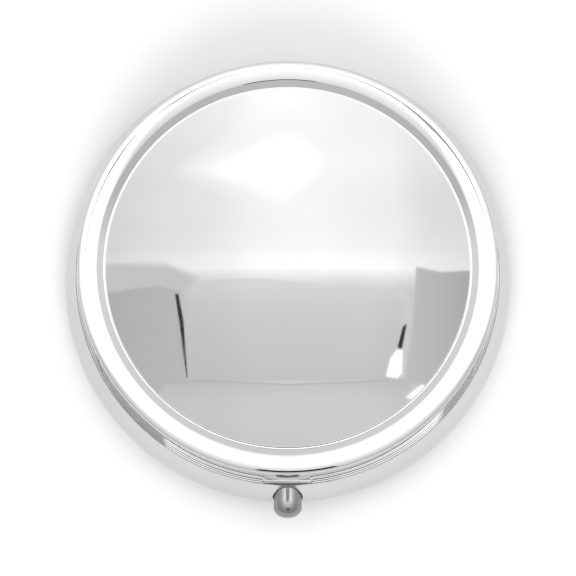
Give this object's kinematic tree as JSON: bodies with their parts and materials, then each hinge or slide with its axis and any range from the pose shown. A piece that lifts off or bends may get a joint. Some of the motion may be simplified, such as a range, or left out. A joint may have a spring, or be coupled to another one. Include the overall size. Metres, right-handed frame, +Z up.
{
  "type": "pill box",
  "caption": "Round polished metal pill box: bulged base, hinged lid with a domed inlay and a mirror inside, divided tray, and a push button that frees the latch.",
  "frame": {"origin": "centre of the flat underside, which the box stands on", "axes": "+Z up, -Y towards the push button, +Y towards the hinge, +X to the right seen from the button"},
  "size_m": [0.052, 0.0541, 0.0141],
  "materials": {
    "polished_plate": "bright polished plate",
    "sprung_steel": "satin",
    "dark_nickel": "polished dark nickel plate",
    "bush_brass": "plain turned",
    "tray_plastic": "semi-gloss moulded",
    "mirror_glass": "silvered glass",
    "adhesive": "cured film"
  },
  "bodies": {
    "base": {"base_shell": "polished_plate", "base_collar": "sprung_steel", "compartment_tray": "tray_plastic", "base_hinge_leaf": "polished_plate", "base_hinge_rivet_left": "sprung_steel", "base_hinge_rivet_right": "sprung_steel", "hinge_pin": "sprung_steel", "hinge_spring": "sprung_steel", "button_bush": "bush_brass", "latch_foot": "sprung_steel", "latch_rivet_left": "sprung_steel", "latch_rivet_right": "sprung_steel"},
    "button": {"button_cap": "dark_nickel", "button_stem": "sprung_steel"},
    "latch": {"latch_arm": "sprung_steel"},
    "lid": {"lid_shell": "polished_plate", "lid_inlay": "polished_plate", "inlay_adhesive": "adhesive", "mirror_bezel": "polished_plate", "mirror": "mirror_glass", "mirror_adhesive": "adhesive", "lid_hinge_leaf": "polished_plate", "lid_hinge_rivet_left": "sprung_steel", "lid_hinge_rivet_right": "sprung_steel", "lid_catch": "sprung_steel", "catch_rivet_left": "sprung_steel", "catch_rivet_right": "sprung_steel"}
  },
  "joints": [
    {"name": "lid_hinge", "type": "hinge", "parent": "base", "child": "lid", "pos_m": [0, 0.02375, 0.0087], "axis": [-1, 0, 0], "range_deg": [0, 100], "deforming": ["hinge_spring"]},
    {"name": "button_press", "type": "slide", "parent": "base", "child": "button", "axis": [0, 1, 0], "range_m": [0, 0.0008], "stiffness_N_per_m": 900, "springref_m": -0.0003},
    {"name": "latch_flex", "type": "hinge", "parent": "base", "child": "latch", "pos_m": [0, -0.0207, 0.00125], "axis": [-1, 0, 0], "range_deg": [0, 9.2]}
  ],
  "couplings": [
    {"joint": "latch_flex", "follows": "button_press", "rad_per_m": 200}
  ]
}
